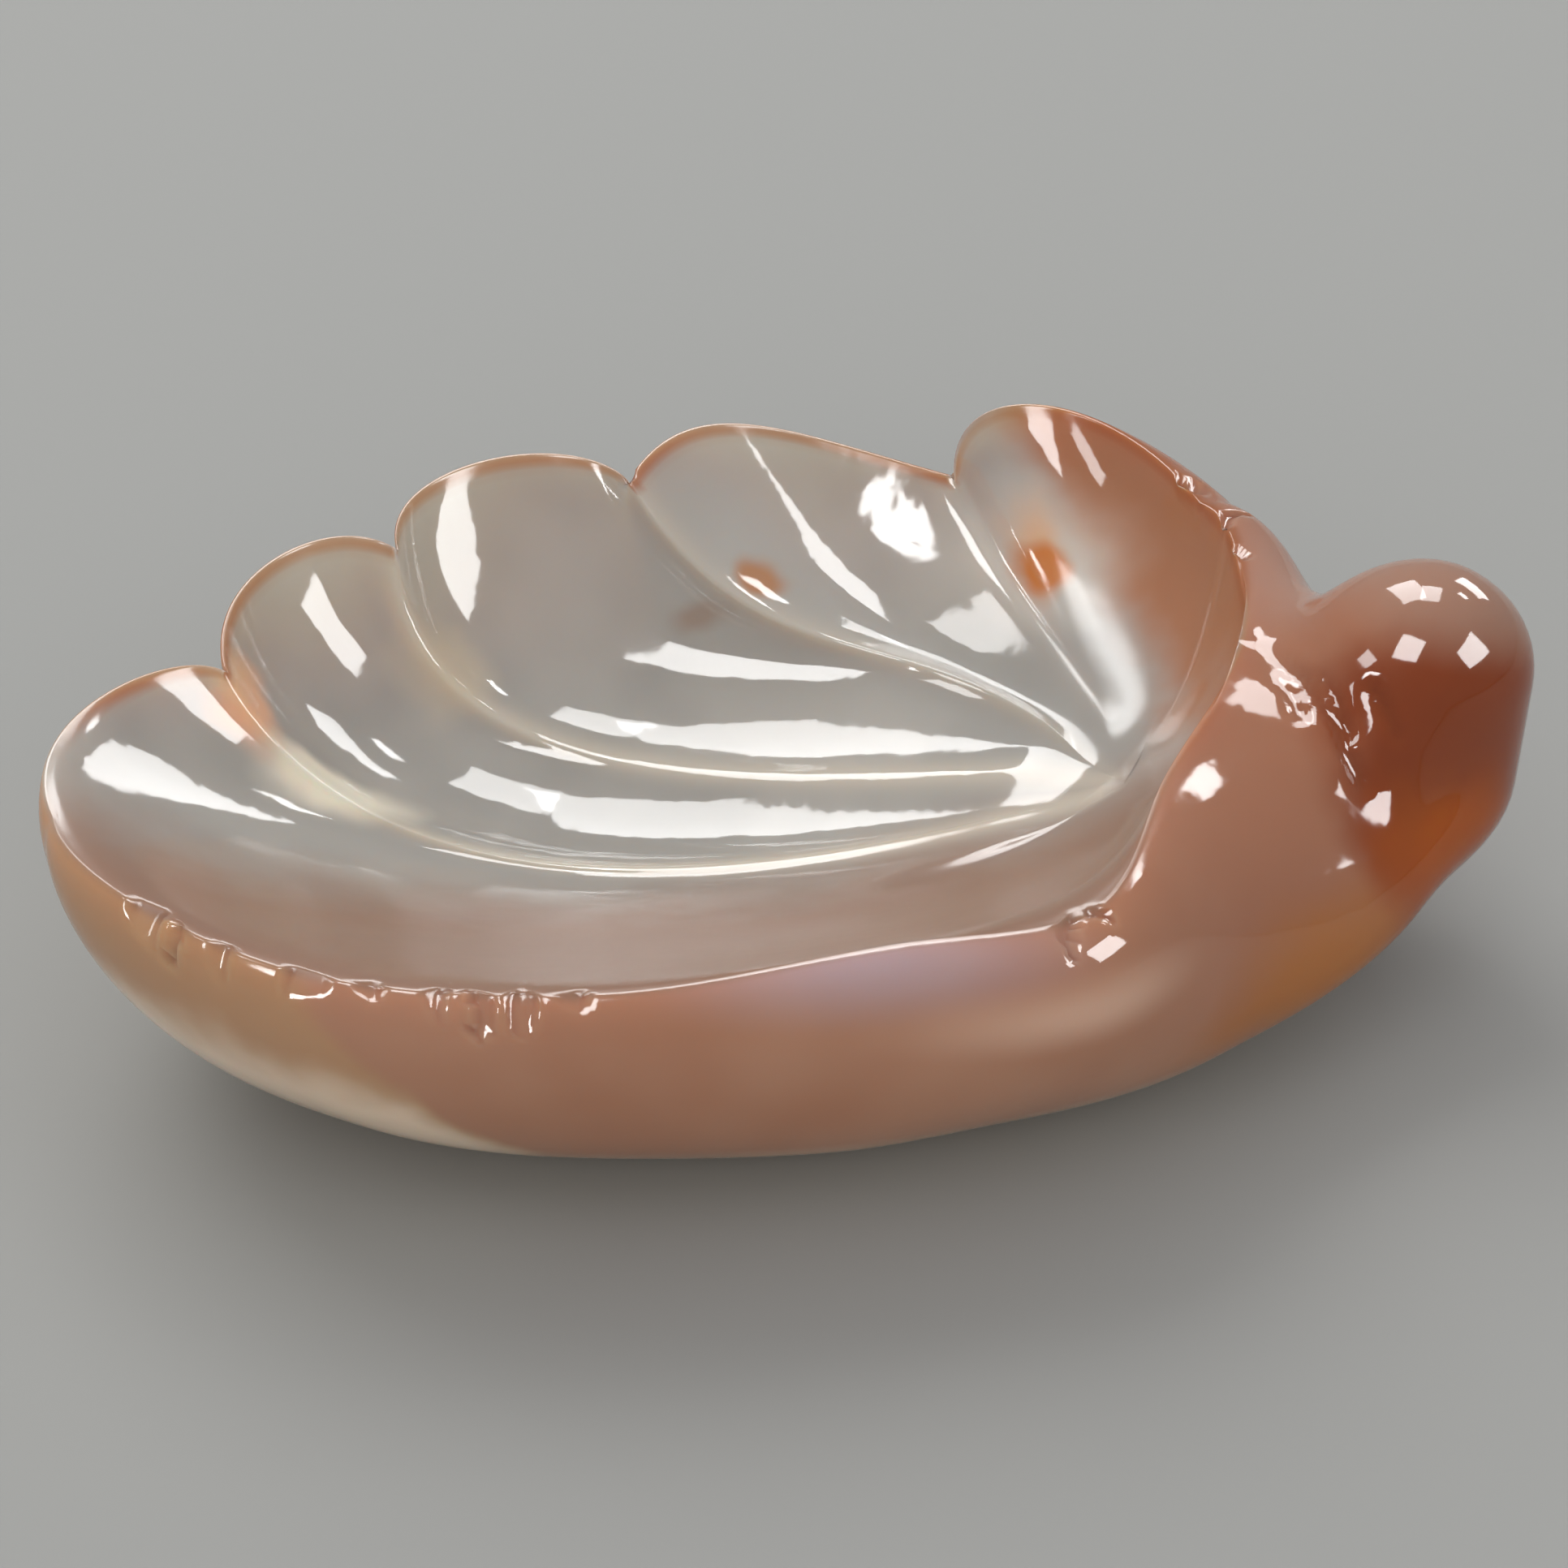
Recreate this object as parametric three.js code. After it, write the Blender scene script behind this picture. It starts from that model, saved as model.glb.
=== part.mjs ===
// Fluted shell dish carved from one piece of agate, lying with its hollow up.
// Millimetres. X runs from the thin left end to the knob, Y to the scalloped back rim, Z is up.
import * as THREE from 'three';

// Driving heights
const RIM = 12.5;
const FLOOR = 5.0;

// The flutes meet here, low in the hollow at the knob end
const MEETING = [13.6, -0.6, FLOOR + 2.6];

// Rim and foot
const LIP_WIDTH = 0.5;
const FOOT_CENTRE = [-1.5, -3.5];
const FOOT_HALF = [11.5, 7.0];
const LOBE_SHARE_OUTSIDE = 0.45;
const LOBE_SHARE_INSIDE = 0.5;

// Knob at the right end: a short upright rod with round ends that grows out of the outer wall
const KNOB_TOP = [25.35, 0.8, RIM - 0.3];
const KNOB_BOTTOM = [24.95, -0.2, 8.2];
const KNOB_RADIUS = 4.2;
const KNOB_ROOT = [23.8, -0.2, 8.9];
const KNOB_REACH = 14;
const KNOB_START = 15;
const SADDLE_SIDE = [-0.5, 0.1, 0.86];
const BLEND_BELOW = 2.6;
const BLEND_AT_SADDLE = 7.0;

// Rings from the meeting point to the rim, and from the rim down to the foot
const HOLLOW_RINGS = 12;
const HOLLOW_CROWD = 1.25;
const WALL_RINGS = 20;
const WALL_SAMPLES = 160;
const KNOB_DENSITY = 1.5;
const TINY = 1e-9;

// Lines that run from the meeting point over the rim to the foot, counterclockwise from the knob.
// rim, mid and deep are points of the hollow's skin; the outer wall faces `facing` degrees and
// rolls out by `roll`, sinks by `sink`, and reaches `reach` past the foot at the height `lift`.
// A span up to the next line has `steps` stations, which crowd together where the knob is.
// A span with a lobe swings out at the rim by `first` and `last`, and its flute is dug deeper by
// `digs` at the mid points and `floorDigs` at the deep ones, each near its two lines.
const LINES = [
  {
    rim: [17.6, 1.0, RIM + 0.4], mid: [16.8, 0.8, FLOOR + 5.0], deep: [15.1, 0.3, FLOOR + 3.2],
    facing: -8, roll: 14.9, sink: 2.4, reach: 18.1, lift: 2.0, steps: 16, crowdStart: 1.25,
  },
  {
    rim: [18.1, 5.6, RIM + 0.3], mid: [17.2, 4.2, FLOOR + 4.8], deep: [15.4, 2.0, FLOOR + 3.15],
    facing: 14, roll: 8.1, sink: 1.0, reach: 14.4, lift: 1.6, steps: 8,
  },
  {
    rim: [16.9, 11.4, RIM + 0.2], mid: [16.7, 7.9, FLOOR + 4.6], deep: [15.5, 3.9, FLOOR + 3.15],
    facing: 34, roll: 6.4, sink: 1.2, reach: 11.4, lift: 0.8, steps: 13,
    lobe: { first: [-0.6, 6.6, 0.2], last: [-3.4, 8.8, 0.0], digs: [0.6, 1.0], floorDigs: [0.3, 0.5] },
  },
  {
    rim: [7.0, 13.6, RIM - 0.1], mid: [10.4, 8.8, FLOOR + 3.9], deep: [12.7, 4.2, FLOOR + 2.8],
    facing: 75, roll: 1.0, sink: 2.2, reach: 6.5, lift: 0.25, steps: 12,
    lobe: { first: [-2.0, 2.4, 0.3], last: [-1.9, 5.8, 0.6], digs: [0.9, 2.0], floorDigs: [0.6, 0.9] },
  },
  {
    rim: [-6.4, 13.5, RIM - 0.25], mid: [-0.3, 9.9, FLOOR + 3.0], deep: [6.2, 7.8, FLOOR + 2.0],
    facing: 104, roll: 0.8, sink: 2.6, reach: 5.0, lift: 0.25, steps: 11,
    lobe: { first: [0.7, 4.8, 0.3], last: [-4.0, 3.2, 0.5], digs: [0.6, 1.6], floorDigs: [1.1, 0.5] },
  },
  {
    rim: [-15.6, 8.9, RIM - 0.5], mid: [-8.8, 5.0, FLOOR], deep: [4.3, 2.7, FLOOR + 0.4],
    facing: 128, roll: 0.8, sink: 2.6, reach: 5.0, lift: 0.25, steps: 10,
    lobe: { first: [-0.3, 4.8, 0.4], last: [-3.6, 3.2, 0.5], digs: [0.3, 1.9], floorDigs: [0.2, 0.7] },
  },
  {
    rim: [-21.7, 0.9, RIM - 0.7], mid: [-11.6, -2.2, FLOOR + 0.2], deep: [2.3, -1.8, FLOOR + 0.1],
    facing: 155, roll: 0.8, sink: 2.6, reach: 7.5, lift: 0.25, steps: 11,
    lobe: { first: [0.0, 4.1, 0.7], last: [-2.0, 2.6, 0.5], digs: [0.9, 0.5], floorDigs: [0.3, 0.2] },
  },
  {
    rim: [-27.1, -8.8, RIM], mid: [-12.5, -7.0, FLOOR + 1.3], deep: [2.0, -4.8, FLOOR + 0.7],
    facing: 208, roll: 1.7, sink: 1.8, reach: 14.6, lift: 0.25, steps: 8,
  },
  {
    rim: [-18.6, -17.0, RIM], mid: [-8.5, -12.2, FLOOR + 3.6], deep: [3.2, -6.4, FLOOR + 1.3],
    facing: 235, roll: 2.4, sink: 2.3, reach: 12.1, lift: 0.25, steps: 7,
  },
  {
    rim: [-7.1, -18.7, RIM - 0.1], mid: [-0.6, -13.5, FLOOR + 4.4], deep: [6.2, -7.2, FLOOR + 2.0],
    facing: 262, roll: 3.1, sink: 1.7, reach: 9.5, lift: 0.25, steps: 6,
  },
  {
    rim: [3.9, -16.2, RIM + 0.1], mid: [7.2, -11.6, FLOOR + 4.8], deep: [10.4, -6.2, FLOOR + 2.7],
    facing: 281, roll: 4.7, sink: 0.8, reach: 9.8, lift: 0.25, steps: 6,
  },
  {
    rim: [11.0, -14.6, RIM + 0.4], mid: [12.1, -10.2, FLOOR + 5.3], deep: [12.9, -5.2, FLOOR + 3.2],
    facing: 300, roll: 4.9, sink: 1.0, reach: 10.0, lift: 0.4, steps: 8,
  },
  {
    rim: [14.2, -6.8, RIM + 0.5], mid: [14.1, -4.8, FLOOR + 5.2], deep: [13.9, -2.6, FLOOR + 3.3],
    facing: 326, roll: 8.3, sink: 1.9, reach: 15.1, lift: 0.9, steps: 18, crowdEnd: 1.35,
  },
];

const NO_LOBE = { first: [0, 0, 0], last: [0, 0, 0], digs: [0, 0], floorDigs: [0, 0] };

const add = (a, b, share = 1) => a.map((value, k) => value + b[k] * share);
const subtract = (a, b) => a.map((value, k) => value - b[k]);
const dot = (a, b) => a.reduce((sum, value, k) => sum + value * b[k], 0);
const length = (a) => Math.sqrt(dot(a, a));

// Point of a cubic curve from its two ends and two handles
function onCurve(start, handleA, handleB, end, t) {
  const s = 1 - t;
  const weights = [s * s * s, 3 * s * s * t, 3 * s * t * t, t * t * t];
  return start.map((value, k) =>
    weights[0] * value + weights[1] * handleA[k] + weights[2] * handleB[k] + weights[3] * end[k]);
}

// Point of a cubic curve that passes through four points, evenly spaced along it
function throughPoints(a, b, c, d, t) {
  const handleA = a.map((value, k) => (-5 * value + 18 * b[k] - 9 * c[k] + 2 * d[k]) / 6);
  const handleB = a.map((value, k) => (2 * value - 9 * b[k] + 18 * c[k] - 5 * d[k]) / 6);
  return onCurve(a, handleA, handleB, d, t);
}

// Angles of neighbouring lines, turned so that they lie within half a turn of the line itself
function nearAngle(angle, reference) {
  return reference + ((((angle - reference + 180) % 360) + 360) % 360) - 180;
}

// Gap at the rim between a line and the next one
function gapAfterLine(i) {
  return length(subtract(LINES[(i + 1) % LINES.length].rim, LINES[i].rim));
}

// Point at share s between line i and the next one, on the smooth closed row through a value of
// every line. The offsets move the two handles and so make a lobe with a corner at either end.
// All rows bend by the gaps between the lines at the rim.
function onRow(read, i, s, offsetA, offsetB) {
  const count = LINES.length;
  const here = read(LINES[i], i);
  const next = read(LINES[(i + 1) % count], i);
  const before = read(LINES[(i + count - 1) % count], i);
  const after = read(LINES[(i + 2) % count], i);
  const gap = gapAfterLine(i);
  const gapBefore = gapAfterLine((i + count - 1) % count);
  const gapAfter = gapAfterLine((i + 1) % count);
  let handleA = add(here, subtract(next, before), gap / (gap + gapBefore) / 3);
  let handleB = add(next, subtract(after, here), -gap / (gap + gapAfter) / 3);
  if (offsetA) {
    handleA = add(handleA, offsetA);
    handleB = add(handleB, offsetB);
  }
  return onCurve(here, handleA, handleB, next, s);
}

// Larger of two distances, rounded over where they are nearly equal
function softLarger(a, b, blend) {
  const share = THREE.MathUtils.clamp(0.5 + (0.5 * (a - b)) / blend, 0, 1);
  return b * (1 - share) + a * share + blend * share * (1 - share);
}

// Distance from the knob's root to the skin of the rod, along a direction
function distanceToKnob(direction) {
  const rod = subtract(KNOB_TOP, KNOB_BOTTOM);
  const rodLength = length(rod);
  const axis = rod.map((value) => value / rodLength);
  const offset = subtract(KNOB_ROOT, KNOB_BOTTOM);
  const rise = dot(direction, axis);
  const rootHeight = dot(offset, axis);
  const acrossRay = add(direction, axis, -rise);
  const acrossRoot = add(offset, axis, -rootHeight);
  const a = Math.max(dot(acrossRay, acrossRay), TINY);
  const b = dot(acrossRoot, acrossRay);
  const c = dot(acrossRoot, acrossRoot) - KNOB_RADIUS ** 2;
  const side = (-b + Math.sqrt(b * b - a * c)) / a;
  const height = rootHeight + side * rise;
  if (height >= 0 && height <= rodLength) return side;
  const fromEnd = subtract(KNOB_ROOT, height < 0 ? KNOB_BOTTOM : KNOB_TOP);
  const along = dot(fromEnd, direction);
  return -along + Math.sqrt(along * along - dot(fromEnd, fromEnd) + KNOB_RADIUS ** 2);
}

// Moves a point of the outer wall out to the knob, along the ray from the knob's root
function withKnob(point) {
  if (point[0] < KNOB_START) return point;
  if (length(subtract(point, KNOB_TOP)) > KNOB_REACH) return point;
  const ray = subtract(point, KNOB_ROOT);
  const wallDistance = length(ray);
  const direction = ray.map((value) => value / wallDistance);
  const saddleShare = THREE.MathUtils.clamp((dot(direction, SADDLE_SIDE) + 0.1) / 0.7, 0, 1);
  const blend = THREE.MathUtils.lerp(BLEND_BELOW, BLEND_AT_SADDLE, saddleShare);
  return add(KNOB_ROOT, direction, softLarger(wallDistance, distanceToKnob(direction), blend));
}

// Points of an outer wall line at even steps along its length, closer together on the knob
function spreadOut(curve) {
  const sums = [0];
  for (let k = 1; k < curve.length; k += 1) {
    const away = length(subtract(curve[k], KNOB_TOP)) / KNOB_RADIUS;
    const nearness = 1 - THREE.MathUtils.smoothstep(away, 1, 2.2);
    const step = length(subtract(curve[k], curve[k - 1]));
    sums.push(sums[k - 1] + step * (1 + KNOB_DENSITY * nearness));
  }
  const total = sums[sums.length - 1];
  const points = [curve[0]];
  let k = 1;
  for (let ring = 1; ring < WALL_RINGS; ring += 1) {
    const wanted = (total * ring) / WALL_RINGS;
    while (sums[k] < wanted) k += 1;
    const share = (wanted - sums[k - 1]) / (sums[k] - sums[k - 1]);
    points.push(add(curve[k - 1], subtract(curve[k], curve[k - 1]), share));
  }
  points.push(curve[curve.length - 1]);
  return points;
}

// All points of one station, from the first hollow ring to the foot's edge
function station(i, s) {
  const { first, last, digs, floorDigs } = LINES[i].lobe || NO_LOBE;
  const dug = (depth) => [0, 0, -depth];
  const midFirst = add(dug(digs[0]), first, LOBE_SHARE_INSIDE);
  const midLast = add(dug(digs[1]), last, LOBE_SHARE_INSIDE);
  const rim = onRow((line) => line.rim, i, s, first, last);
  const plainRim = onRow((line) => line.rim, i, s);
  const mid = onRow((line) => line.mid, i, s, midFirst, midLast);
  const deep = onRow((line) => line.deep, i, s, dug(floorDigs[0]), dug(floorDigs[1]));
  const [roll, sink, reach, lift] =
    onRow((line) => [line.roll, line.sink, line.reach, line.lift], i, s);
  const [facing] = onRow((line, k) => [nearAngle(line.facing, LINES[k].facing)], i, s);
  const angle = THREE.MathUtils.degToRad(facing);
  const out = [Math.cos(angle), Math.sin(angle), 0];
  const lip = add(rim, out, LIP_WIDTH);
  const footEdge = [
    FOOT_CENTRE[0] + FOOT_HALF[0] * out[0],
    FOOT_CENTRE[1] + FOOT_HALF[1] * out[1],
    0,
  ];
  const rollStart = add(plainRim, subtract(rim, plainRim), LOBE_SHARE_OUTSIDE);
  const handleA = add(add(rollStart, out, LIP_WIDTH + roll), [0, 0, -sink]);
  const handleB = add(add(footEdge, out, reach), [0, 0, lift]);
  const points = [];
  for (let ring = 1; ring <= HOLLOW_RINGS; ring += 1) {
    const t = 1 - (1 - ring / HOLLOW_RINGS) ** HOLLOW_CROWD;
    points.push(throughPoints(MEETING, deep, mid, rim, t));
  }
  const wall = [];
  for (let sample = 0; sample <= WALL_SAMPLES; sample += 1) {
    wall.push(withKnob(onCurve(lip, handleA, handleB, footEdge, sample / WALL_SAMPLES)));
  }
  points.push(...spreadOut(wall));
  return points;
}

// Stations all the way around
const stations = [];
LINES.forEach((line, i) => {
  for (let step = 0; step < line.steps; step += 1) {
    let share = step / line.steps;
    if (line.crowdStart) share **= line.crowdStart;
    if (line.crowdEnd) share = 1 - (1 - share) ** line.crowdEnd;
    stations.push(station(i, share));
  }
});

// Skin: a fan at the meeting point, bands between the rings, and the flat foot
const ringCount = stations[0].length;
const around = stations.length;
const positions = [...MEETING];
for (let ring = 0; ring < ringCount; ring += 1) {
  stations.forEach((points) => positions.push(...points[ring]));
}
positions.push(...FOOT_CENTRE, 0);
const footMiddle = 1 + ringCount * around;
const at = (ring, k) => 1 + ring * around + (k % around);
const faces = [];
for (let k = 0; k < around; k += 1) {
  faces.push(0, at(0, k), at(0, k + 1));
  for (let ring = 0; ring < ringCount - 1; ring += 1) {
    faces.push(at(ring, k), at(ring + 1, k), at(ring + 1, k + 1));
    faces.push(at(ring, k), at(ring + 1, k + 1), at(ring, k + 1));
  }
  faces.push(at(ringCount - 1, k), footMiddle, at(ringCount - 1, k + 1));
}
const geometry = new THREE.BufferGeometry();
geometry.setAttribute('position', new THREE.Float32BufferAttribute(positions, 3));
geometry.setIndex(faces);

// Middle of the footprint to the origin, foot on the ground plane
geometry.computeBoundingBox();
const { min, max } = geometry.boundingBox;
geometry.translate(-(min.x + max.x) / 2, -(min.y + max.y) / 2, -min.z);
geometry.computeVertexNormals();

const agate = new THREE.MeshStandardMaterial({ color: '#b98a76', roughness: 0.12, metalness: 0 });
const shell = new THREE.Mesh(geometry, agate);
shell.name = 'agate_shell';

const dish = new THREE.Group();
dish.add(shell);
export default dish;
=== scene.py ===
# %% [markdown]
# # A shell dish carved from agate
#
# This lesson dresses one small stone object: a shallow dish cut from a single pebble of agate in
# the shape of a fluted shell. Its frame, one closed solid, is already there, and gives the size
# and the place. Here it gets a finer carved skin, the colours that run through the stone, a
# polished finish, a plain floor, soft light and a camera.

# %% Load the frame
import math

import bpy
import numpy as np
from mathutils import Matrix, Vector


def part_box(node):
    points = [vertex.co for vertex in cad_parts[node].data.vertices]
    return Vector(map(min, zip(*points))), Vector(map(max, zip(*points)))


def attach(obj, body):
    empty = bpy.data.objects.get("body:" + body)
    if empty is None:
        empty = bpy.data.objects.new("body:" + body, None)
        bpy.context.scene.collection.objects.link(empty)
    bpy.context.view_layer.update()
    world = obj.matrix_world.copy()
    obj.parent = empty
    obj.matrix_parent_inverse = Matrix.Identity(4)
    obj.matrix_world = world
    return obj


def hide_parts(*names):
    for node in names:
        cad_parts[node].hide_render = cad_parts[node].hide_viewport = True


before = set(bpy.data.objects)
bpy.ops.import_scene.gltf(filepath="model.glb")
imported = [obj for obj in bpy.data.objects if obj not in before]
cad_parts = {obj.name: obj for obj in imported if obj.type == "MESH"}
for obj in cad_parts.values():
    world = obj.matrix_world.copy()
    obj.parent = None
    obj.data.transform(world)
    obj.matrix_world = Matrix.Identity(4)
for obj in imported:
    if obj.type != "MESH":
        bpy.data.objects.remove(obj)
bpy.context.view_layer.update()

dish_low, dish_high = (np.array(corner) * 1000 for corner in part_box("agate_shell"))
print("dish from", dish_low.round(2), "to", dish_high.round(2), "mm")

# %% [markdown]
# ## The camera
#
# The dish is looked at from the front, 38 degrees above its own level. A camera can be placed by
# hand, but a place worked out from the angle, the distance and the width of what it sees is
# easy to repeat. The distance sets the perspective: at 170 mm the near edge is seen a little
# larger than the far one, as in a close-up with a short telephoto lens.

# %% Place the camera
CAMERA_TARGET = Vector((-0.6, 0.57, 7.0))
CAMERA_ELEVATION = math.radians(38)
CAMERA_DISTANCE = 170
SEEN_WIDTH = 62.8
SENSOR = 36

towards_camera = Vector((0, -math.cos(CAMERA_ELEVATION), math.sin(CAMERA_ELEVATION)))
lens = bpy.data.cameras.new("close_up")
lens.sensor_width = SENSOR
lens.lens = SENSOR * CAMERA_DISTANCE / SEEN_WIDTH
lens.clip_start = 0.01
camera = bpy.data.objects.new("close_up", lens)
bpy.context.collection.objects.link(camera)
camera.location = (CAMERA_TARGET + towards_camera * CAMERA_DISTANCE) / 1000
camera.rotation_euler = towards_camera.to_track_quat("Z", "Y").to_euler()
bpy.context.scene.camera = camera
print("lens", round(lens.lens, 1), "mm at", [round(v, 4) for v in camera.location])

# %% [markdown]
# ## The carver's lines
#
# A carver sets out a shell by lines that fan from one point near the hinge: over each ridge or
# flute to the rim, over the rim, and down the outside to the foot. The same lines can drive a
# mesh. Each line here names three points on the hollow's side and says how the outer wall
# bulges. A subdivision cage or sculpting would also do, but lines keep the ridges exactly where
# they belong and can be cut as fine as needed. All sizes are in millimetres.

# %% Lines of the carving
RIM = 12.5
FLOOR = 5.0
MEETING = np.array([13.6, -0.6, FLOOR + 2.35])
# the outer edge stands this far from the rim points, and this much of that is level
LIP_WIDTH = 0.5
FLAT_OF_LIP = 0.16
FOOT_CENTRE = np.array([-1.5, -3.5])
FOOT_HALF = np.array([11.5, 7.0])

# name: rim, mid and deep point, facing in degrees, (roll, sink, reach, lift), stations, crowding
LINES = {
    "right": ((17.6, 1.0, RIM + 0.4), (16.8, 0.8, FLOOR + 5.0), (15.1, 0.3, FLOOR + 3.2),
              -8, (14.9, 2.4, 18.1, 2.0), 64, 1.25),
    "neck": ((18.1, 5.6, RIM + 0.3), (17.2, 4.2, FLOOR + 4.8), (15.4, 2.0, FLOOR + 3.15),
             14, (8.1, 1.0, 14.4, 1.6), 32, 1),
    "shoulder": ((16.9, 11.4, RIM + 0.2), (16.7, 7.9, FLOOR + 4.6), (15.5, 3.9, FLOOR + 3.15),
                 34, (6.4, 1.2, 11.4, 0.8), 56, 1),
    "notch_45": ((7.0, 13.6, RIM - 0.1), (10.4, 8.8, FLOOR + 3.9), (12.7, 4.2, FLOOR + 2.8),
                 75, (1.0, 2.2, 6.5, 0.25), 54, 1),
    "notch_34": ((-6.4, 13.5, RIM - 0.25), (-0.3, 9.9, FLOOR + 3.0), (6.2, 7.8, FLOOR + 2.0),
                 104, (0.8, 2.6, 5.0, 0.25), 50, 1),
    "notch_23": ((-15.6, 8.9, RIM - 0.5), (-8.8, 5.0, FLOOR), (4.3, 2.7, FLOOR + 0.4),
                 128, (0.8, 2.6, 5.0, 0.25), 46, 1),
    "notch_12": ((-21.7, 0.9, RIM - 0.7), (-11.6, -2.2, FLOOR + 0.2), (2.3, -1.8, FLOOR + 0.1),
                 155, (0.8, 2.6, 7.5, 0.25), 48, 1),
    "left": ((-27.1, -8.8, RIM), (-12.5, -7.0, FLOOR + 1.3), (2.0, -4.8, FLOOR + 0.7),
             208, (1.7, 1.8, 14.6, 0.25), 44, 1),
    "near_left": ((-18.6, -17.0, RIM), (-8.5, -12.2, FLOOR + 3.6), (3.2, -6.4, FLOOR + 1.3),
                  235, (2.4, 2.3, 12.1, 0.25), 48, 1),
    "near": ((-7.1, -18.7, RIM - 0.1), (-0.6, -13.5, FLOOR + 4.4), (6.2, -7.2, FLOOR + 2.0),
             262, (3.1, 1.7, 9.5, 0.25), 40, 1),
    "near_right": ((3.9, -16.2, RIM + 0.1), (7.2, -11.6, FLOOR + 4.8), (10.4, -6.2, FLOOR + 2.7),
                   281, (4.7, 0.8, 9.8, 0.25), 30, 1),
    "corner": ((11.0, -14.6, RIM + 0.4), (12.1, -10.2, FLOOR + 5.3), (12.9, -5.2, FLOOR + 3.2),
               300, (4.9, 1.0, 10.0, 0.4), 34, 1),
    "collar": ((14.2, -6.8, RIM + 0.5), (14.1, -4.8, FLOOR + 5.2), (13.9, -2.6, FLOOR + 3.3),
               326, (8.3, 1.9, 15.1, 0.9), 66, -1.35),
}
NAMES = list(LINES)
print(len(NAMES), "lines,", sum(line[5] for line in LINES.values()), "stations")

# %% [markdown]
# Between two lines the rim swings out into a rounded lobe, and the stone under it is scooped
# into a flute. Two offsets pull the handles of the rim's curve outwards, which leaves a sharp
# notch at either line. Four depths dig the flute between its ridges, two halfway along it and two
# near its deep end. The depths at the two sides differ, because each flute leans on one ridge and
# breaks off steeply at the other.

# %% Lobes between the lines
# offsets of the rim's two handles, digs halfway along, digs near the deep end
LOBES = {
    "shoulder": ((-0.6, 6.6, 0.2), (-3.4, 8.8, 0.0), (0.6, 1.0), (0.3, 0.5)),
    "notch_45": ((-2.0, 2.4, 0.3), (-1.9, 5.8, 0.6), (0.9, 2.0), (0.6, 0.9)),
    "notch_34": ((0.7, 4.8, 0.3), (-4.0, 3.2, 0.5), (0.6, 1.6), (1.1, 0.5)),
    "notch_23": ((-0.3, 4.8, 0.4), (-3.6, 3.2, 0.5), (0.3, 1.9), (0.2, 0.7)),
    "notch_12": ((0.0, 4.1, 0.7), (-2.0, 2.6, 0.5), (0.9, 0.5), (0.3, 0.2)),
}
LOBE_SHARE_OUTSIDE = 0.45
LOBE_SHARE_INSIDE = 0.5
DOWN = np.array([0, 0, -1.0])


def on_curve(start, handle_a, handle_b, end, t):
    """Cubic curve from its ends and handles, at the shares t."""
    s = 1 - t
    return s**3 * start + 3 * s * s * t * handle_a + 3 * s * t * t * handle_b + t**3 * end


def through_points(a, b, c, d, t):
    """Cubic curve that passes through four points."""
    handle_a = (-5 * a + 18 * b - 9 * c + 2 * d) / 6
    handle_b = (2 * a - 9 * b + 18 * c - 5 * d) / 6
    return on_curve(a, handle_a, handle_b, d, t)


RIM_POINTS = np.array([line[0] for line in LINES.values()])
GAPS = np.linalg.norm(np.roll(RIM_POINTS, -1, 0) - RIM_POINTS, axis=1)


def on_row(values, i, s, offsets=(0, 0)):
    """Values between line i and the next one, on a smooth closed row round the dish."""
    count = len(values)
    here, after_it, before, further = (
        np.array(values[(i + k) % count], float) for k in (0, 1, -1, 2))
    gap, gap_before, gap_after = GAPS[i], GAPS[i - 1], GAPS[(i + 1) % count]
    handle_a = here + (after_it - before) * gap / (gap + gap_before) / 3 + offsets[0]
    handle_b = after_it - (further - here) * gap / (gap + gap_after) / 3 + offsets[1]
    return on_curve(here, handle_a, handle_b, after_it, s)


print("lobes:", ", ".join(LOBES))

# %% [markdown]
# ## The knob
#
# The hinge end of the shell runs out into a round knob. It isn't a ball stuck on: the stone
# flows into it from below, and a soft groove parts it from the collar above. So the knob is
# worked out along rays from a root inside the stone. On each ray the farther of the wall and
# the knob wins, and the two are eased together where they are nearly equal: tightly below, and
# over a wide saddle on the side of the collar.

# %% Knob helper
KNOB_TOP = np.array([25.35, 0.8, RIM - 0.3])
KNOB_BOTTOM = np.array([24.95, -0.2, 8.2])
KNOB_RADIUS = 4.2
KNOB_ROOT = np.array([23.8, -0.2, 8.9])
KNOB_START = 15
KNOB_REACH = 14
SADDLE_SIDE = np.array([-0.5, 0.1, 0.86])
SADDLE_FROM = -0.1
SADDLE_FULL = 0.6
BLEND_BELOW = 2.6
BLEND_AT_SADDLE = 7.0


def distance_to_knob(direction):
    """From the knob's root to the skin of a short rod with round ends."""
    rod = KNOB_TOP - KNOB_BOTTOM
    rod_length = np.linalg.norm(rod)
    axis = rod / rod_length
    offset = KNOB_ROOT - KNOB_BOTTOM
    rise, root_height = direction @ axis, offset @ axis
    across_ray = direction - rise[..., None] * axis
    across_root = offset - root_height * axis
    a = np.maximum((across_ray**2).sum(-1), 1e-9)
    b = across_ray @ across_root
    c = across_root @ across_root - KNOB_RADIUS**2
    side = (-b + np.sqrt(b * b - a * c)) / a
    height = root_height + side * rise
    from_end = KNOB_ROOT - np.where((height > rod_length)[..., None], KNOB_TOP, KNOB_BOTTOM)
    along = (direction * from_end).sum(-1)
    inside = along**2 - (from_end**2).sum(-1) + KNOB_RADIUS**2
    round_end = -along + np.sqrt(np.maximum(inside, 0))
    return np.where((height < 0) | (height > rod_length), round_end, side)


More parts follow.
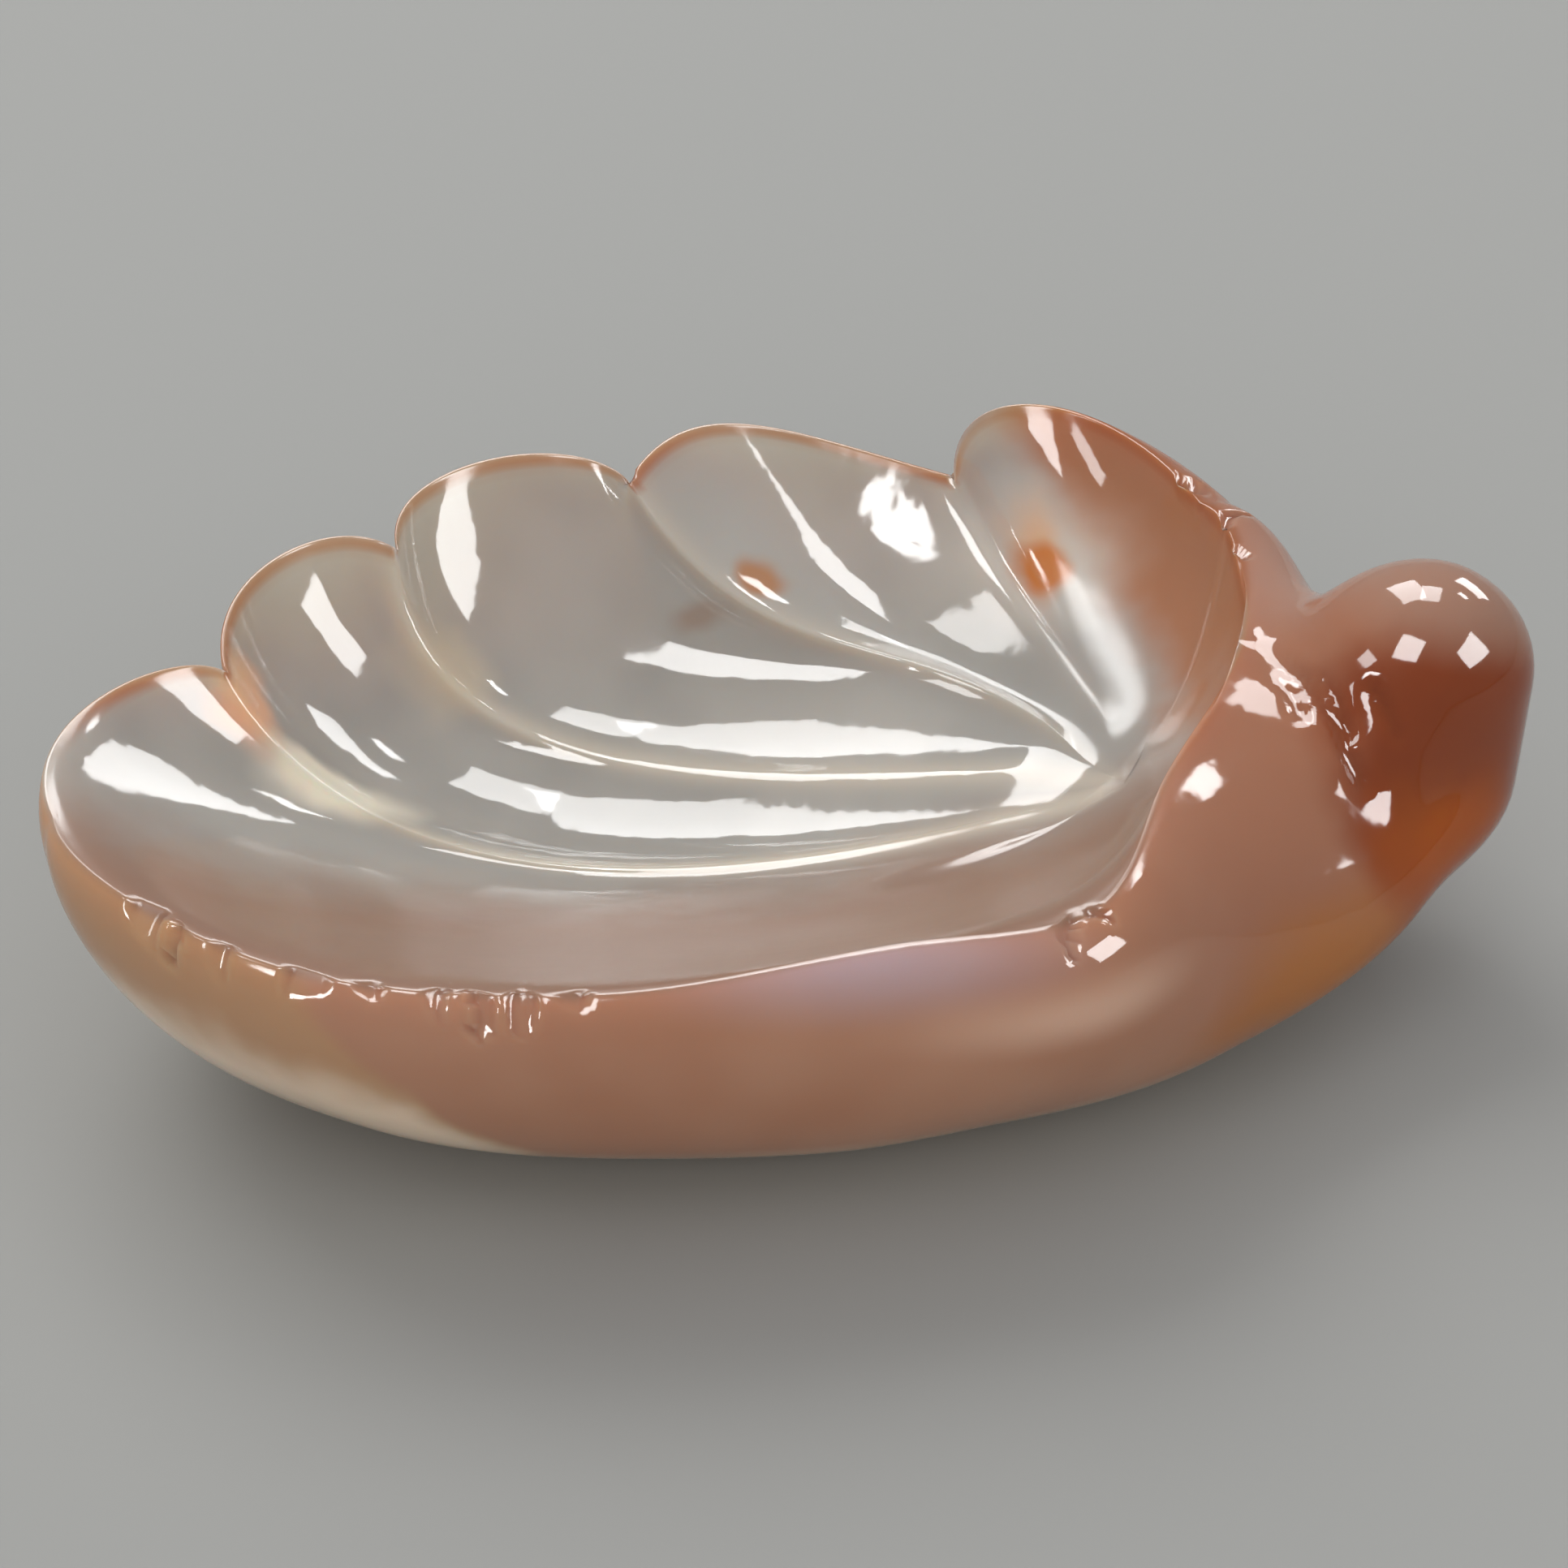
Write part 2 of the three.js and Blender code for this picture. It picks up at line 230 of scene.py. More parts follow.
def with_knob(points):
    """Moves points of the outer wall out to the knob."""
    ray = points - KNOB_ROOT
    wall = np.linalg.norm(ray, axis=-1)
    direction = ray / wall[..., None]
    knob = distance_to_knob(direction)
    facing_it = direction @ SADDLE_SIDE
    saddle = np.clip((facing_it - SADDLE_FROM) / (SADDLE_FULL - SADDLE_FROM), 0, 1)
    blend = BLEND_BELOW + (BLEND_AT_SADDLE - BLEND_BELOW) * saddle
    share = np.clip(0.5 + 0.5 * (wall - knob) / blend, 0, 1)
    eased = knob * (1 - share) + wall * share + blend * share * (1 - share)
    near = (points[..., 0] > KNOB_START) & (
        np.linalg.norm(points - KNOB_TOP, axis=-1) < KNOB_REACH)
    return np.where(near[..., None], KNOB_ROOT + direction * eased[..., None], points)


print("knob stands", round(KNOB_TOP[2] + KNOB_RADIUS - RIM, 2), "mm above the rim")

# %% [markdown]
# ## Stations and rings
#
# Every station is one slice through the stone: hollow, lip and outer wall. Its points are
# spaced by length, and lie a tenth of a millimetre or less apart near the rim, so that the edge
# can be rounded there later without softening the rest.

# %% Cut the stations
NEAR_RIM = np.array([0.0, 0.05, 0.1, 0.17, 0.26, 0.4, 0.65, 1.0])
HOLLOW_RINGS = 38
LIP_RINGS = 4
WALL_RINGS = 64
SAMPLES = 300
WALL_CROWD = 1.3
# rings lie closer on the knob, from this many knob radii away and over this width
KNOB_DENSITY = 1.6
DENSE_FROM = 2.2
DENSE_OVER = 1.2


def spaced_from_rim(curve, rings, denser=None):
    """Points of a curve that starts at the rim: close together there, then evenly spread."""
    step = np.linalg.norm(np.diff(curve, axis=0), axis=-1)
    if denser is not None:
        step = step * denser
    sums = np.concatenate([[0], np.cumsum(step)])
    wanted = np.concatenate([NEAR_RIM, np.linspace(NEAR_RIM[-1], sums[-1], rings + 1)[1:]])
    return np.stack([np.interp(wanted, sums, curve[:, k]) for k in range(3)], -1)


def cut_stations():
    """The whole skin as a grid of points: stations round the dish, rings down each one."""
    rows = list(zip(*LINES.values()))
    t = np.linspace(1, 0, SAMPLES + 1)[:, None]
    w = np.linspace(0, 1, SAMPLES + 1)[:, None] ** WALL_CROWD
    grid, shares = [], []
    for i, name in enumerate(NAMES):
        steps, crowd = rows[5][i], rows[6][i]
        u = np.arange(steps) / steps
        s = (u**crowd if crowd > 0 else 1 - (1 - u) ** -crowd)[:, None]
        first, last, digs, floor_digs = LOBES.get(name, ([0] * 3, [0] * 3, [0] * 2, [0] * 2))
        first, last = np.array(first), np.array(last)
        rim = on_row(rows[0], i, s, (first, last))
        plain_rim = on_row(rows[0], i, s)
        inside_a = first * LOBE_SHARE_INSIDE + DOWN * digs[0]
        inside_b = last * LOBE_SHARE_INSIDE + DOWN * digs[1]
        mid = on_row(rows[1], i, s, (inside_a, inside_b))
        deep = on_row(rows[2], i, s, (DOWN * floor_digs[0], DOWN * floor_digs[1]))
        roll, sink, reach, lift = on_row(rows[4], i, s).T[:, :, None]
        turned = [[(f - rows[3][i] + 180) % 360 + rows[3][i] - 180] for f in rows[3]]
        angle = np.radians(on_row(turned, i, s)[:, 0])
        out = np.stack([np.cos(angle), np.sin(angle), 0 * angle], -1)
        lip = rim + out * LIP_WIDTH
        foot = np.concatenate([FOOT_CENTRE + FOOT_HALF * out[:, :2], 0 * out[:, :1]], -1)
        handle_a = plain_rim + (rim - plain_rim) * LOBE_SHARE_OUTSIDE
        handle_a = handle_a + out * (LIP_WIDTH + roll) + DOWN * sink
        handle_b = foot + out * reach - DOWN * lift
        for k in range(steps):
            edge = lip[k] - out[k] * FLAT_OF_LIP
            hollow = through_points(MEETING, deep[k], mid[k], edge, t)
            hollow = spaced_from_rim(hollow, HOLLOW_RINGS)[-2::-1]
            flat = edge + (lip[k] - edge) * np.linspace(0, 1, LIP_RINGS + 1)[1:-1, None]
            wall = with_knob(on_curve(lip[k], handle_a[k], handle_b[k], foot[k], w))
            away = np.linalg.norm(wall[1:] - KNOB_TOP, axis=-1) / KNOB_RADIUS
            near = np.clip((DENSE_FROM - away) / DENSE_OVER, 0, 1)
            density = 1 + KNOB_DENSITY * near * near * (3 - 2 * near)
            wall = spaced_from_rim(wall, WALL_RINGS, density)
            grid.append(np.concatenate([hollow, flat, wall]))
            shares.append((i, float(s[k, 0])))
    return np.array(grid), shares


grid, shares = cut_stations()
hollow_last = HOLLOW_RINGS + len(NEAR_RIM) - 2
wall_first = hollow_last + LIP_RINGS
print("grid", grid.shape, "rim at ring", hollow_last, "outer edge at ring", wall_first)

# %% [markdown]
# ## Soft edges
#
# Grinding and polishing leave no edge perfectly sharp. The rim and the ridges are eased by
# averaging every point with its neighbours, more often where the real edge is rounder. A bevel
# modifier would give all edges one width. The near wall has no ridge at all, so its stations are
# averaged until it is one smooth curve, which a polished surface shows at once.

# %% Ease the edges
def averaged(points, across, down):
    """Every point moved halfway to the mean of its neighbours, round or down the grid."""
    eased = points.copy()
    if across:
        eased = 0.5 * points + 0.25 * (np.roll(points, 1, 0) + np.roll(points, -1, 0))
    if down:
        side = eased.copy()
        eased[:, 1:-1] = 0.5 * side[:, 1:-1] + 0.25 * (side[:, :-2] + side[:, 2:])
    return eased


def ease(points, weight, passes, across=True, down=True):
    """Averages several times, by each point's weight."""
    for _ in range(passes):
        points = points + weight[..., None] * (averaged(points, across, down) - points)
    return points


starts = {NAMES[i]: k for k, (i, s) in enumerate(shares) if s == 0}
around = len(shares)

EDGE_RINGS = 6
EDGE_PASSES = 2
ring = np.arange(grid.shape[1])
near_edge = ((ring > hollow_last - EDGE_RINGS) & (ring < wall_first + EDGE_RINGS)) * 1.0
grid = ease(grid, np.tile(near_edge, (around, 1)), EDGE_PASSES, across=False)

# passes of averaging at each line; the ridge stays as cut next to the rim
RIDGE_SOFTNESS = {"notch_12": 8, "notch_23": 12, "notch_34": 5, "notch_45": 14, "shoulder": 60,
                  "neck": 60, "right": 30, "left": 90, "near_left": 120, "near": 120,
                  "near_right": 120, "corner": 60, "collar": 40}
RIM_FADE_RINGS = 8
RIDGE_REACH = 4
REACH_BY_PASSES = 1.6
fade_to_rim = np.clip((hollow_last - ring) / RIM_FADE_RINGS, 0, 1)
for name, passes in RIDGE_SOFTNESS.items():
    distance = np.abs((np.arange(around) - starts[name] + around // 2) % around - around // 2)
    reach = RIDGE_REACH + passes**0.5 * REACH_BY_PASSES
    weight = np.clip(1 - distance / reach, 0, 1) ** 0.5
    grid = ease(grid, weight[:, None] * fade_to_rim, passes, down=False)

# 0 at the left line and 1 at the corner line; the smoothing fades out a little past both
NEAR_WALL_PASSES = 500
WALL_FROM, WALL_TO = -0.25, 1.35
FADE_IN, FADE_OUT = 0.35, 0.3
along = (np.arange(around) - starts["left"]) / (starts["corner"] - starts["left"])
wall_share = np.minimum((along - WALL_FROM) / FADE_IN, (WALL_TO - along) / FADE_OUT)
wall_share = np.clip(wall_share, 0, 1)
grid = ease(grid, wall_share[:, None] * fade_to_rim, NEAR_WALL_PASSES, down=False)
print("eased", len(RIDGE_SOFTNESS), "ridges, the rim and the near wall")

# %% [markdown]
# The flutes end in a smooth bowl before they meet. Close to the meeting point the skin follows
# the rounded surface that fits the stone a little farther out.

# %% Round off the meeting point
ROUND_FROM = 2.2
ROUND_TO = 6.0
BOWL_TOP = FLOOR + 5
RINGS_KEPT_AT_RIM = 4


def bowl_terms(points):
    """The six terms of a curved surface over the floor plan."""
    x, y = points[..., 0] - MEETING[0], points[..., 1] - MEETING[1]
    return np.stack([np.ones_like(x), x, y, x * x, x * y, y * y], -1)


inside = ring < hollow_last - RINGS_KEPT_AT_RIM
away = np.linalg.norm(grid[..., :2] - MEETING[:2], axis=-1)
fitted = (away > ROUND_FROM) & (away < ROUND_TO) & inside & (grid[..., 2] < BOWL_TOP)
bowl = np.linalg.lstsq(bowl_terms(grid[fitted]), grid[fitted][:, 2], rcond=None)[0]
share = np.clip((ROUND_TO - away) / (ROUND_TO - ROUND_FROM), 0, 1)
share = share * share * (3 - 2 * share) * inside
grid[..., 2] += share * (bowl_terms(grid) @ bowl - grid[..., 2])
meeting = np.array([*MEETING[:2], bowl[0]])
print("meeting point eased to", meeting.round(2))

# %% [markdown]
# ## Grooves beside the knob
#
# Fine cuts part the knob from the collar: the carver's wheel has sunk a little way into the stone
# along them. A bump texture could darken them, but only real cuts catch the light along their
# edges. They are laid on the skin by the rays from the knob's root, so they follow it.

# %% Cut the grooves
# path over the knob's flank in mm, half width, depth
GROOVES = [
    ([(18.5, 2.2, 13.0), (20.1, -1.2, 13.3), (21.3, -3.5, 12.7), (22.1, -5.0, 11.5),
      (22.6, -5.7, 10.7)], 0.34, 0.34),
    ([(18.4, 1.3, 12.9), (19.7, -1.9, 13.0), (20.2, -3.4, 12.6)], 0.28, 0.24),
    ([(20.9, -1.0, 13.4), (21.5, -2.6, 13.0), (22.0, -4.2, 12.2)], 0.26, 0.2),
    ([(22.6, -2.2, 13.6), (23.2, -3.4, 13.2), (23.8, -4.4, 12.4)], 0.3, 0.2),
]


def way_out(points):
    """Unit directions out of the stone at every point of the grid."""
    around_step = np.roll(points, -1, 0) - np.roll(points, 1, 0)
    out = np.cross(around_step, np.gradient(points, axis=1))
    out = out / np.maximum(np.linalg.norm(out, axis=-1, keepdims=True), 1e-9)
    return out if out[:, hollow_last // 2, 2].mean() > 0 else -out


def rays_from_root(points):
    """Unit directions from the knob's root."""
    ray = points - KNOB_ROOT
    return ray / np.linalg.norm(ray, axis=-1, keepdims=True)


def distance_to_path(points, path):
    """Distance to a bent line laid on the skin, and the share of its length reached there."""
    rays, path = rays_from_root(points), rays_from_root(np.array(path))
    best = np.full(points.shape[:-1], np.inf)
    share = np.zeros(points.shape[:-1])
    for k, (a, b) in enumerate(zip(path[:-1], path[1:])):
        t = np.clip(((rays - a) @ (b - a)) / ((b - a) @ (b - a)), 0, 1)
        away = np.linalg.norm(rays - (a + t[..., None] * (b - a)), axis=-1)
        share = np.where(away < best, (k + t) / (len(path) - 1), share)
        best = np.minimum(best, away)
    return best * np.linalg.norm(points - KNOB_ROOT, axis=-1), share


normals = way_out(grid)
for path, half_width, depth in GROOVES:
    away, share = distance_to_path(grid, path)
    fading_at_ends = np.clip(6 * share * (1 - share), 0, 1)
    cut = depth * np.exp(-(away / half_width) ** 2) * fading_at_ends
    grid = grid - normals * (cut * (ring > hollow_last))[..., None]
print(len(GROOVES), "grooves cut")

# %% [markdown]
# ## Chips along the rim
#
# Chalcedony is hard but brittle, so a thin rim loses small flakes. Each chip here is one flat
# facet: a tilted plane takes off what stands beyond it, over a short length of the rim. Chips cut
# by balls would be truer to the shell-shaped break, but at this size they mirror like bubbles.

# %% Chip the rim
# place on the rim in mm, tilt up from level, turn along the rim, half length, depth
CHIPS = [
    ((-23.3, -14.7), 0.9, 0.2, 0.9, 0.34), ((-22.2, -15.7), 0.4, -0.5, 0.3, 0.16),
    ((-20.4, -16.8), 0.7, 0.3, 0.4, 0.14), ((-17.0, -18.1), 0.8, -0.1, 0.8, 0.14),
    ((-15.0, -18.7), 1.1, 0.2, 0.5, 0.14), ((-12.5, -18.9), 0.9, 0.5, 0.35, 0.2),
    ((-10.9, -19.1), 0.6, -0.3, 0.5, 0.16), ((-9.7, -19.3), 0.8, 0.9, 0.3, 0.22),
    ((-9.1, -19.4), 0.8, -0.9, 0.3, 0.22), ((-7.6, -19.3), 1.2, 0.2, 0.5, 0.14),
    ((10.5, -16.1), 0.9, 0.4, 0.5, 0.18), ((11.5, -15.4), 0.8, -0.4, 0.4, 0.16),
    ((17.8, 8.0), 0.9, 0.3, 0.4, 0.12), ((17.3, 10.2), 1.0, -0.3, 0.6, 0.14),
    ((16.4, 13.0), 0.9, 0.3, 0.5, 0.16), ((-6.6, 13.8), 1.0, 0.4, 0.5, 0.12),
]
CHIP_REACH = 1.6
DEEPEST_CUT = 2.5
lip_line = grid[:, hollow_last + 2]

for place, tilt, turn, half_length, depth in CHIPS:
    k = int(np.argmin(np.linalg.norm(lip_line[:, :2] - place, axis=-1)))
    along = lip_line[(k + 1) % around] - lip_line[k - 1]
    along[2] = 0
    along = along / np.linalg.norm(along)
    level = np.array([along[1], -along[0], 0])
    out = level * math.cos(tilt) + np.array([0, 0, math.sin(tilt)]) + along * turn
    out = out / np.linalg.norm(out)
    offset = grid - lip_line[k]
    over = np.maximum(offset @ out + depth, 0)
    near = np.linalg.norm(offset, axis=-1) < CHIP_REACH
    near = near & (np.abs(offset @ along) < half_length) & (over < DEEPEST_CUT * depth)
    grid = grid - out * (over * near)[..., None]
print(len(CHIPS), "chips taken off the rim")

# %% [markdown]
# ## One closed skin
#
# The stations and rings already form a grid that closes on itself, so bands of four-cornered faces
# join them. Two fans close the meeting point and the foot. The skin replaces the frame's solid of
# the same piece and rides on its body, and it is moved so that both footprints share one middle.

# %% Put the skin together
def skin_of(grid, meeting):
    """Vertices and faces: a fan at the meeting point, bands, and a fan over the foot."""
    around, rings = grid.shape[:2]
    foot_middle = np.array([*FOOT_CENTRE, 0])
    points = np.concatenate([grid.transpose(1, 0, 2).reshape(-1, 3), [meeting, foot_middle]])
    here = np.arange(around)
    after = (here + 1) % around
    faces = []
    for r in range(rings - 1):
        low, high = r * around, (r + 1) * around
        faces += np.stack([low + here, high + here, high + after, low + after], -1).tolist()
    top, bottom = rings * around, rings * around + 1
    last = (rings - 1) * around
    faces += [[top, int(a), int(b)] for a, b in zip(here, after)]
    faces += [[last + int(a), bottom, last + int(b)] for a, b in zip(here, after)]
    return points, faces


points, faces = skin_of(grid, meeting)
middle = (points.min(0) + points.max(0)) / 2
wanted_middle = (dish_low + dish_high) / 2
shift = np.array([*(wanted_middle - middle)[:2], 0])
points = points + shift
mesh = bpy.data.meshes.new("agate_dish")
mesh.from_pydata((points / 1000).tolist(), [], faces)
mesh.update()
mesh.polygons.foreach_set("use_smooth", [True] * len(mesh.polygons))
dish = bpy.data.objects.new("agate_dish", mesh)
bpy.context.collection.objects.link(dish)
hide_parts("agate_shell")
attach(dish, "root")
print("dish", len(points), "points,", len(faces), "faces, moved by", shift.round(3), "mm")

# %% [markdown]
# ## What the stone remembers of its place
#
# The colour of agate depends on where in the pebble a point lies, and on which side of the
# carving it is: the thin hollow looks grey and milky, the thick outside rose brown. Places can
# be read from the coordinates in the material. Sides can't, so three numbers are stored on the
# points of the mesh: how far outside, how close to the rim, and how close to a crest.

# %% Store the sides of the carving
# lengths in mm: the hollow turns to the outside from just before the rim on
OUTSIDE_FROM, OUTSIDE_FULL = -0.05, 0.5
RIM_BAND, RIM_BAND_FADED = 0.15, 0.75
CREST_WIDTH = 0.9
CREST_STRENGTHS = {"notch_12": 1.0, "notch_23": 0.8, "notch_34": 0.35}


def store(name, values, *poles):
    """Keeps one number per point of the mesh, for the material to read."""
    attribute = mesh.attributes.new(name, "FLOAT", "POINT")
    flat = np.concatenate([values.T.ravel(), poles])
    attribute.data.foreach_set("value", flat.astype(np.float32))


def smooth(value, low, high):
    """0 below low, 1 above high, smooth between, for arrays."""
    share = np.clip((value - low) / (high - low), 0, 1)
    return share * share * (3 - 2 * share)


step = np.linalg.norm(np.diff(grid, axis=1), axis=-1)
length_down = np.concatenate([np.zeros((around, 1)), np.cumsum(step, axis=1)], axis=1)
past_rim = length_down - length_down[:, hollow_last:hollow_last + 1]
outside = smooth(past_rim, OUTSIDE_FROM, OUTSIDE_FULL)
near_rim = 1 - smooth(np.abs(past_rim - OUTSIDE_FROM), RIM_BAND, RIM_BAND_FADED)

crest = np.zeros(grid.shape[:2])
for name, strength in CREST_STRENGTHS.items():
    line = grid[starts[name]]
    away = np.linalg.norm(grid - line[None], axis=-1)
    crest = np.maximum(crest, strength * np.exp(-((away / CREST_WIDTH) ** 2)))
crest = crest * (past_rim < 0)
store("outside", outside, 0.0, 1.0)
store("near_rim", near_rim, 0.0, 0.0)
store("crest", crest, 0.0, 0.0)
print("outside, near_rim and crest stored for", len(mesh.vertices), "points")

# %% [markdown]
# ## Polished agate
#
# Agate is chalcedony, quartz in fibres too fine to see, laid down in layers. Ground and
# polished, it has a glassy surface (an index of refraction of 1.54) over a milky, translucent
# body. Iron gives the carnelian reds and browns. So the finish is one Principled shader: sharp
# gloss, light that scatters under the surface, and colours placed by where they lie in the
# stone. One helper adds every node, with its settings and its links.

# %% Helpers for the material
def linear(hex_colour):
    """sRGB hex to the linear values that shaders work in."""
    parts = [int(hex_colour[k:k + 2], 16) / 255 for k in (1, 3, 5)]
    return [v / 12.92 if v <= 0.04045 else ((v + 0.055) / 1.055) ** 2.4 for v in parts] + [1.0]


agate = bpy.data.materials.new("polished_agate")
agate.use_nodes = True
agate.node_tree.nodes.clear()


def add(kind, inputs=None, **settings):
    """Adds one node; an input is a constant, or an output of another node."""
    node = agate.node_tree.nodes.new("ShaderNode" + kind)
    for name, value in settings.items():
        setattr(node, name, value)
    for name, value in (inputs or {}).items():
        if isinstance(value, bpy.types.NodeSocket):
            agate.node_tree.links.new(value, node.inputs[name])
        else:
            node.inputs[name].default_value = value
    return node


print("milky grey #a8a39c is", np.round(linear("#a8a39c")[:3], 3), "in linear light")

# %% [markdown]
# ## Zones of the stone
#
# A painted picture would have to be wrapped around the carving. Zones placed in space need no
# wrapping, and run through the stone as its real layers do. A zone is a soft-edged patch or
# layer, given in millimetres. Cloudy noise about 7 mm wide bends all of them by up to a few
# millimetres, as no zone in a real pebble has an even border.

# %% Place in the stone, in millimetres
CLOUD_WIDTH = 7
CLOUD_DRIFT = 5
place = add("TexCoord").outputs["Object"]
place = add("VectorMath", {0: place, 1: (1000, 1000, 1000)}, operation="MULTIPLY").outputs[0]
cloud = add("TexNoise", {"Vector": place, "Scale": 1 / CLOUD_WIDTH, "Detail": 3, "Roughness": 0.5})
drift = add("VectorMath", {0: cloud.outputs["Color"], 1: (0.5, 0.5, 0.5)}, operation="SUBTRACT")
warped = add("VectorMath", {0: drift.outputs[0], 1: [CLOUD_DRIFT] * 3, 2: place},
             operation="MULTIPLY_ADD").outputs[0]


def layer(direction, low, high, where=None):
    """Share of a flat layer of the stone, by distance along a direction."""
    along = add("VectorMath", {0: where or warped, 1: direction}, operation="DOT_PRODUCT")
    limits = {"Value": along.outputs["Value"], "From Min": low, "From Max": high}
    return add("MapRange", limits, interpolation_type="SMOOTHSTEP").outputs[0]


def patch(centre, size, soft=0.6, where=None):
    """Share of an egg-shaped patch with half sizes in mm, fading out over its soft part."""
    offset = add("VectorMath", {0: where or warped, 1: centre}, operation="SUBTRACT")
    scaled = add("VectorMath", {0: offset.outputs[0], 1: size}, operation="DIVIDE")
    far = add("VectorMath", {0: scaled.outputs[0]}, operation="LENGTH")
    limits = {"Value": far.outputs["Value"], "From Min": 1.0, "From Max": 1.0 - soft}
    return add("MapRange", limits, interpolation_type="SMOOTHSTEP").outputs[0]


def tint(colour, share, second_colour, strength=1.0):
    """Colour with a share of a second one laid over it, at this strength."""
    if strength < 1:
        share = add("Math", {0: share, 1: strength}, operation="MULTIPLY").outputs[0]
    mix = add("Mix", {"Factor": share}, data_type="RGBA")
    inputs = [s for s in mix.inputs if s.type == "RGBA"]
    for socket, value in zip(inputs, (colour, second_colour)):
        if isinstance(value, str):
            socket.default_value = linear(value)
        else:
            agate.node_tree.links.new(value, socket)
    return [s for s in mix.outputs if s.type == "RGBA"][0]


outside_share = add("Attribute", attribute_name="outside").outputs["Fac"]
rim_share = add("Attribute", attribute_name="near_rim").outputs["Fac"]
crest_share = add("Attribute", attribute_name="crest").outputs["Fac"]
print(len(agate.node_tree.nodes), "nodes tell the place in the stone")

# %% [markdown]
# ## Colour of the hollow
#
# The hollow is ground thin, so it looks grey and milky. The near wall is peach, the stone turns
# brown towards the knob, the ridges keep a pale crest, and a few spots of iron stand in it, the
# largest an orange heart in a paler halo. The orange spot at the notch between the first two lobes
# is lightened to a painted highlight.

# %% Colour of the hollow
MIST_WIDTH = 9
mist = add("TexNoise", {"Vector": place, "Scale": 1 / MIST_WIDTH, "Detail": 2}).outputs["Fac"]
milk = add("MapRange", {"Value": mist, "From Min": 0.35, "From Max": 0.65},
           interpolation_type="SMOOTHSTEP").outputs[0]
hollow = tint("#a8a39c", milk, "#b6b0a8")
near_wall = layer((0.2, -0.95, 0.1), -0.5, 7.5)
hollow = tint(hollow, near_wall, "#94694f", 0.85)
brown_end = layer((0.8, 0.2, 0.56), 16.0, 19.0)
hollow = tint(hollow, brown_end, "#ad7350", 0.95)
hollow = tint(hollow, crest_share, "#d9cdbb", 0.7)

# centre and half sizes in mm, soft part, strength, colour
SPOTS = [
    ((-18.2, 0.3, 7.2), (5.0, 2.2, 3.2), 0.7, 1.0, "#fbf1dc"),
    ((-14.6, 7.8, 7.6), (2.6, 2.6, 3.2), 0.8, 0.6, "#d3c5ac"),
    # orange stone at the notch between the first two lobes, lightened to a painted highlight
    ((-21.8, 2.2, 10.2), (3.4, 3.0, 3.0), 0.6, 1.0, "#f2bd98"),
    ((9.5, 13.5, 9.6), (6.5, 5.5, 3.6), 0.8, 0.7, "#dcd2c6"),
    ((-0.5, 13.5, 9.6), (7.0, 4.0, 3.0), 0.9, 0.45, "#c0bcb6"),
    ((9.3, 14.2, 9.8), (2.2, 3.2, 2.4), 0.9, 0.75, "#dcaa7e"),
    ((9.4, 12.4, 9.4), (2.1, 2.2, 2.2), 0.6, 0.95, "#cd7c3a"),
    ((-0.9, 12.7, 8.9), (1.9, 1.9, 1.9), 0.6, 0.85, "#bd8253"),
    ((-3.4, 11.3, 7.8), (2.6, 1.3, 1.3), 0.8, 0.5, "#a07c62"),
]
for centre, size, soft, strength, colour in SPOTS:
    hollow = tint(hollow, patch(centre, size, soft), colour, strength)
print(len(SPOTS), "spots in the hollow")

# %% [markdown]
# ## Colour of the outside
#
# The outside is thick stone, so it shows its own colour: rose brown, deepening to carnelian at the
# knob. Low on the left a pale layer is cut through, which runs out as a cream edge along the
# bottom. Under the near rim a violet sheen and a pale band below it are painted reflections, and
# the mauve on the neck by the knob is partly the stone's own tone, partly a painted sheen.

# %% Colour of the outside
PALE_LAYER = (-0.735, 0, -0.678)
rose = add("MapRange", {"Value": mist, "From Min": 0.3, "From Max": 0.7},
           interpolation_type="SMOOTHSTEP").outputs[0]
skin = tint("#b58063", rose, "#bd8c70")
knob_end = layer((1, 0, 0.3), 14, 20)
skin = tint(skin, knob_end, "#a97156", 0.8)
tan_border = layer(PALE_LAYER, 4.2, 5.4)
skin = tint(skin, tan_border, "#c09570")
pale, low_down = layer(PALE_LAYER, 4.4, 6.4), layer((0, 0, -1), -10.0, -6.5)
low_cream = add("Math", {0: pale, 1: low_down}, operation="MULTIPLY").outputs[0]
skin = tint(skin, low_cream, "#f3dcc2")
ochre_belly = patch((20, -10, 5.5), (10, 9, 5.0), 0.8)
skin = tint(skin, ochre_belly, "#b87438", 0.95)
bottom_edge = layer((0, 0, -1), -4.5, -1.5, place)
skin = tint(skin, bottom_edge, "#f4d8ba", 0.9)
# mauve on the neck by the knob: partly the stone's own tone, partly a painted sheen mirrored from
# above
neck = patch((20.0, 7.0, 11.5), (7.0, 8.0, 5.0), 0.9, place)
skin = tint(skin, neck, "#b9917f", 0.7)
carnelian = patch((25.4, -2.4, 10.4), (7.6, 7.6, 7.0), 0.4)
skin = tint(skin, carnelian, "#8f4014")
orange_cheek = patch((25.0, -5.0, 8.6), (5.8, 5.0, 4.4), 0.8)
skin = tint(skin, orange_cheek, "#b05404")
knob_crown = layer((0.2, 0.2, 0.96), 18.4, 20.6, place)
skin = tint(skin, knob_crown, "#a98471", 0.8)
# painted reflection: a soft violet sheen under the near rim, not a colour of the stone
painted_violet_sheen = patch((2.5, -17.0, 12.6), (11.0, 4.0, 2.6), 1.0, place)
skin = tint(skin, painted_violet_sheen, "#b9a3a9", 0.85)
# painted reflection: a pale soft band across the near outer wall, where a bright source is
# mirrored
painted_reflection_band = patch((10.5, -17.0, 10.2), (10.0, 4.5, 1.9), 1.0, place)
skin = tint(skin, painted_reflection_band, "#dcb49c", 0.9)

